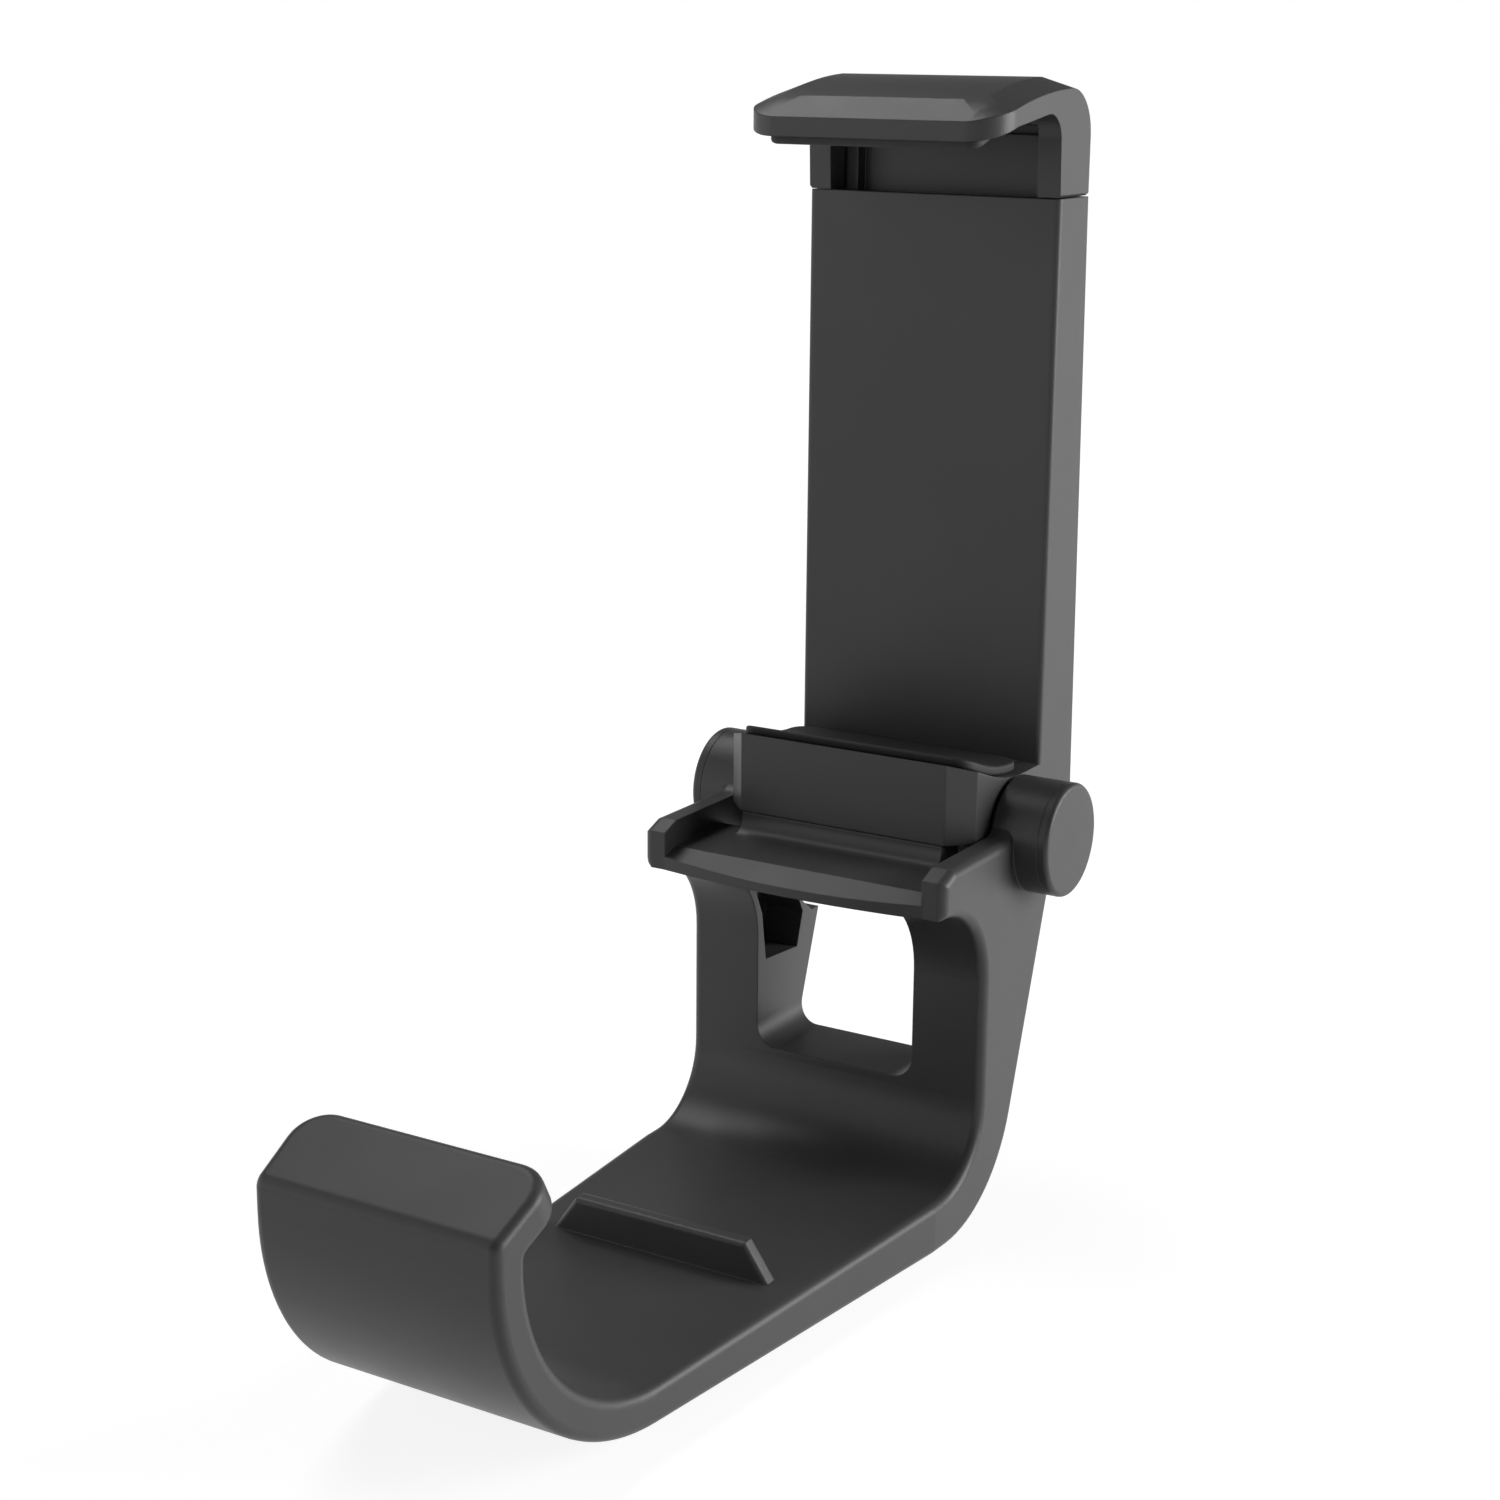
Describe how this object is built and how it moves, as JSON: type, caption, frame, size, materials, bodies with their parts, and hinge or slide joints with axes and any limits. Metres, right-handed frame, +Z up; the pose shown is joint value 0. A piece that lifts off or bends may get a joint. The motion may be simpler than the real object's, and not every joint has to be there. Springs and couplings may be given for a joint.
{
  "type": "controller phone clip",
  "caption": "Clip that hooks over a game controller and holds a phone above it in a tilting, spring-loaded clamp, dark charcoal plastic",
  "frame": {"origin": "middle of the controller seat on the top face of the cradle floor", "axes": "+X to the right along the hinge axis, +Y back from the hook's lip towards the legs, +Z up from the seat towards the phone clamp"},
  "size_m": [0.0442, 0.1062, 0.1196],
  "materials": {
    "charcoal_plastic": "fine matte texture",
    "washer_plastic": "smooth",
    "black_rubber": "soft matte",
    "steel": "zinc plated",
    "spring_steel": "wound wire"
  },
  "bodies": {
    "cradle": {"cradle_frame": "charcoal_plastic", "hinge_cap_left": "charcoal_plastic", "hinge_cap_right": "charcoal_plastic", "hinge_bolt": "steel", "hinge_nut": "steel", "bolt_washer": "steel", "spring_washer": "steel", "friction_washer_left": "washer_plastic", "friction_washer_right": "washer_plastic"},
    "holder": {"front_housing": "charcoal_plastic", "rear_cover": "charcoal_plastic", "cover_screws": "steel", "lower_jaw_pad": "black_rubber", "hinge_knuckle": "charcoal_plastic", "knuckle_screws": "steel", "lower_spring_pin": "steel", "spring_left": "spring_steel", "spring_right": "spring_steel"},
    "slider": {"upper_jaw": "charcoal_plastic", "upper_jaw_pad": "black_rubber", "slider_tongue": "charcoal_plastic", "tongue_screws": "steel", "upper_spring_pin": "steel"}
  },
  "joints": [
    {"name": "holder_tilt", "type": "hinge", "parent": "cradle", "child": "holder", "pos_m": [0, 0.0416, 0.0349], "axis": [-1, 0, 0], "range_deg": [0, 80]},
    {"name": "jaw_slide", "type": "slide", "parent": "holder", "child": "slider", "axis": [0, 0, 1], "range_m": [0, 0.02], "stiffness_N_per_m": 150, "springref_m": -0.02, "deforming": ["spring_left", "spring_right"]}
  ]
}
